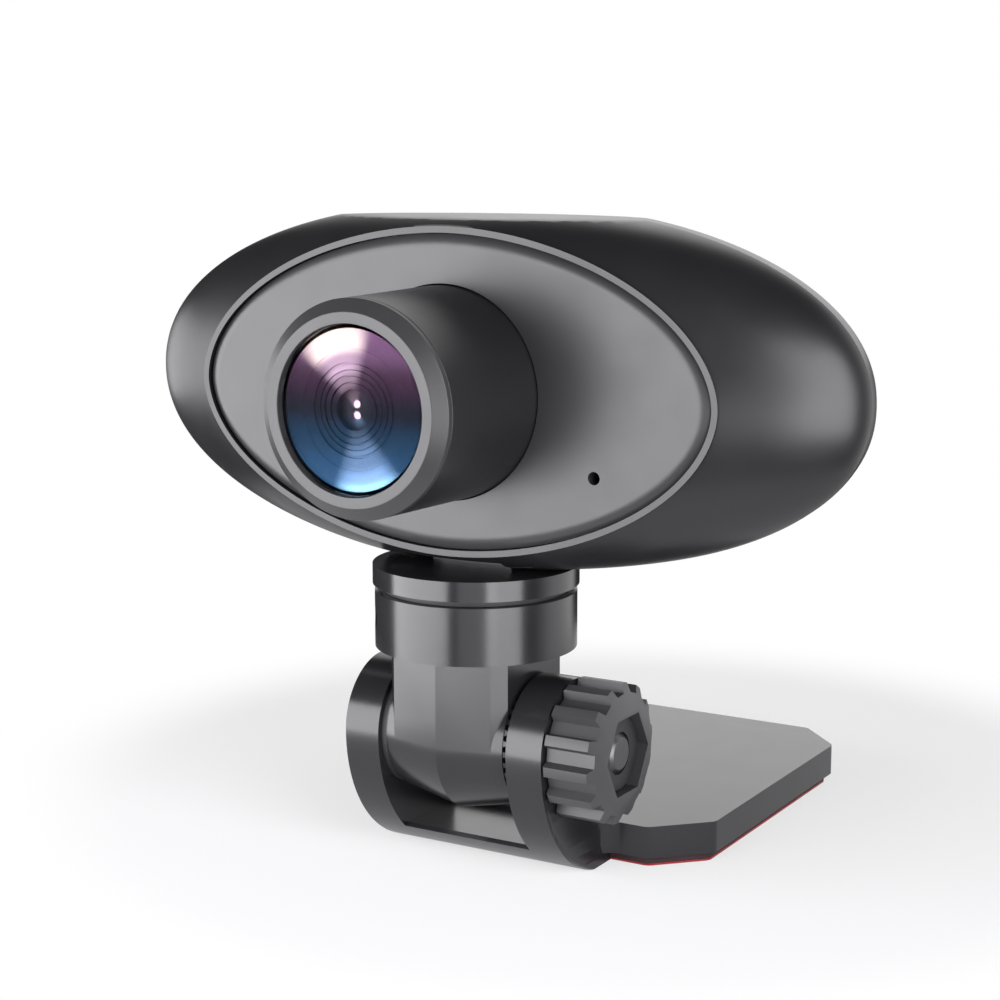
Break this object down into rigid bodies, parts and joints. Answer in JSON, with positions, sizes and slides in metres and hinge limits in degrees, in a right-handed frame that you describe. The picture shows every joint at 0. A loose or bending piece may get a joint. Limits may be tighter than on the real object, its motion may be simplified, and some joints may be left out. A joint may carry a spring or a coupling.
{
  "type": "dash camera",
  "caption": "Eye-shaped dash camera on a tilting, panning windscreen mount with adhesive pad, clamping knob and slide-on rail.",
  "frame": {"origin": "centre of the adhesive pad's outer face", "axes": "+Z away from the windscreen pad towards the camera, -Y the way the lens looks, +X the side with the clamping knob"},
  "size_m": [0.0778, 0.0675, 0.0627],
  "materials": {
    "liner": "red release film",
    "foam": "closed-cell foam tape",
    "bracket": "satin dark grey",
    "swivel": "satin dark grey",
    "hardware": "machined",
    "black_hardware": "blackened",
    "friction": "black",
    "knob": "satin dark grey",
    "shell": "fine satin dark grey",
    "panel": "fine satin dark grey",
    "barrel": "satin dark grey",
    "bezel": "satin grey",
    "glass": "coated, purple and blue reflection",
    "cell": "black",
    "board": "green solder mask",
    "chip": "black",
    "contact": "plated",
    "tin": "tinned shell",
    "boot": "soft black",
    "capacitor": "sleeved"
  },
  "bodies": {
    "base": {"release_liner": "liner", "foam_tape": "foam", "fork_bracket": "bracket", "pivot_bolt": "hardware", "pivot_washer": "friction", "knob_washer": "hardware"},
    "tilt_knob": {"knob": "knob", "knob_nut": "black_hardware"},
    "yoke": {"knuckle_collar": "bracket", "set_screw": "black_hardware", "swivel_washer": "friction"},
    "swivel": {"swivel_disc": "swivel"},
    "head": {"front_shell": "shell", "rear_cover": "shell", "rail_shoe": "shell", "front_panel": "panel", "lens_barrel": "barrel", "bezel_ring": "bezel", "front_glass": "glass", "lens_cell": "cell", "inner_lens": "glass", "rear_lens": "glass", "aperture_disc": "cell", "lens_spacer": "hardware", "lens_lock_ring": "black_hardware", "sensor_holder": "cell", "ir_filter": "glass", "image_sensor": "chip", "sensor_board": "board", "main_board": "board", "flex_cable": "contact", "board_stack_pins": "contact", "port_board": "board", "power_socket": "tin", "card_socket": "tin", "reset_switch": "chip", "speaker": "chip", "supercapacitors": "capacitor", "microphone": "tin", "microphone_boot": "boot", "case_screws": "black_hardware"},
    "card": {"memory_card": "chip"},
    "button": {"reset_button": "shell"}
  },
  "joints": [
    {"name": "tilt", "type": "hinge", "parent": "base", "child": "yoke", "pos_m": [0, -0.0258, 0.013], "axis": [1, 0, 0], "range_deg": [-45, 60]},
    {"name": "pan", "type": "hinge", "parent": "yoke", "child": "swivel", "pos_m": [0, -0.0258, 0.0286], "axis": [0, 0, 1], "continuous": true},
    {"name": "rail_slide", "type": "slide", "parent": "swivel", "child": "head", "axis": [0, -1, 0], "range_m": [0, 0.018]},
    {"name": "knob_turn", "type": "hinge", "parent": "base", "child": "tilt_knob", "pos_m": [0.014, -0.0258, 0.013], "axis": [1, 0, 0], "continuous": true},
    {"name": "card_slide", "type": "slide", "parent": "head", "child": "card", "axis": [0, 1, 0], "range_m": [0, 0.015]},
    {"name": "button_press", "type": "slide", "parent": "head", "child": "button", "axis": [0, -1, 0], "range_m": [0, 0.0004], "stiffness_N_per_m": 400, "springref_m": -0.0004}
  ]
}
